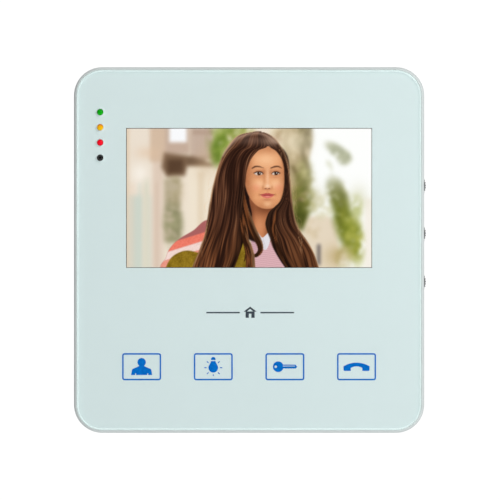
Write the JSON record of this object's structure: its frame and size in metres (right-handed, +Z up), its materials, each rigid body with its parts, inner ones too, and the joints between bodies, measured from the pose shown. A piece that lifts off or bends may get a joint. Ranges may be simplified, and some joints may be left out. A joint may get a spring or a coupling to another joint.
{
  "type": "video intercom monitor",
  "caption": "Flat indoor video intercom monitor with a glass front, touch keys, side thumbwheels and a steel wall plate it hangs on.",
  "frame": {"origin": "centre of the four wall screws, on the wall plane behind the steel wall plate", "axes": "+X to the right as seen by the user, +Y into the wall, +Z up; the glass faces -Y"},
  "size_m": [0.1375, 0.024, 0.142],
  "materials": {
    "plate_steel": "zinc-plated sheet",
    "white_plastic": "semi-gloss white",
    "clear_glass": "clear, polished",
    "white_print": "white back print",
    "blue_print": "printed ink",
    "grey_print": "printed ink",
    "black_foam": "closed-cell foam",
    "screen_glass": "dark polarised glass",
    "light_guide": "clear white",
    "ribbon_film": "polyimide film",
    "circuit_board": "solder resist",
    "copper": "bare copper",
    "chip_plastic": "moulded epoxy",
    "green_lens": "tinted lens",
    "yellow_lens": "tinted lens",
    "red_lens": "tinted lens",
    "black_rubber": "matt",
    "capacitor_can": "satin",
    "ferrite": "sintered ferrite",
    "socket_plastic": "moulded nylon",
    "terminal_plastic": "moulded nylon",
    "screw_steel": "nickel-plated",
    "wheel_plastic": "moulded, ribbed",
    "cone_paper": "pressed pulp",
    "lead_plastic": "wire sleeve",
    "label_film": "blank label"
  },
  "bodies": {
    "wall_bracket": {"wall_plate": "plate_steel"},
    "monitor": {"rear_housing": "white_plastic", "front_frame": "white_plastic", "front_glass": "clear_glass", "overlay_film": "white_print", "view_icon": "blue_print", "light_icon": "blue_print", "door_icon": "blue_print", "talk_icon": "blue_print", "badge_print": "grey_print", "lcd_gasket": "black_foam", "lcd_cell": "screen_glass", "lcd_backlight": "light_guide", "lcd_back_plate": "plate_steel", "lcd_ribbon": "ribbon_film", "touch_board": "circuit_board", "touch_pads": "copper", "touch_chip": "chip_plastic", "touch_ribbon": "ribbon_film", "led_holder": "chip_plastic", "led_green": "green_lens", "led_yellow": "yellow_lens", "led_red": "red_lens", "microphone": "plate_steel", "mic_boot": "black_rubber", "main_board": "circuit_board", "processor_chip": "chip_plastic", "memory_chip": "chip_plastic", "video_chip": "chip_plastic", "amplifier_chip": "chip_plastic", "capacitors": "capacitor_can", "power_coil": "ferrite", "lcd_socket": "socket_plastic", "touch_socket": "socket_plastic", "speaker_socket": "socket_plastic", "terminal_block": "terminal_plastic", "terminal_screws": "screw_steel", "brightness_pot": "chip_plastic", "contrast_pot": "chip_plastic", "volume_pot": "chip_plastic", "speaker_basket": "plate_steel", "speaker_magnet": "ferrite", "speaker_cone": "cone_paper", "speaker_surround": "black_rubber", "speaker_gasket": "black_foam", "speaker_leads": "lead_plastic", "case_screws": "screw_steel", "board_screws": "screw_steel", "rear_label": "label_film"},
    "brightness_dial": {"brightness_wheel": "wheel_plastic"},
    "contrast_dial": {"contrast_wheel": "wheel_plastic"},
    "volume_dial": {"volume_wheel": "wheel_plastic"}
  },
  "joints": [
    {"name": "monitor_lift", "type": "slide", "parent": "wall_bracket", "child": "monitor", "axis": [0, 0, 1], "range_m": [0, 0.0066]},
    {"name": "brightness_turn", "type": "hinge", "parent": "monitor", "child": "brightness_dial", "pos_m": [0.06305, -0.0085, 0.0252], "axis": [0, 1, 0], "range_deg": [-135, 135]},
    {"name": "contrast_turn", "type": "hinge", "parent": "monitor", "child": "contrast_dial", "pos_m": [0.06305, -0.0085, 0.0064], "axis": [0, 1, 0], "range_deg": [-135, 135]},
    {"name": "volume_turn", "type": "hinge", "parent": "monitor", "child": "volume_dial", "pos_m": [0.06305, -0.0085, -0.0126], "axis": [0, 1, 0], "range_deg": [-135, 135]}
  ]
}
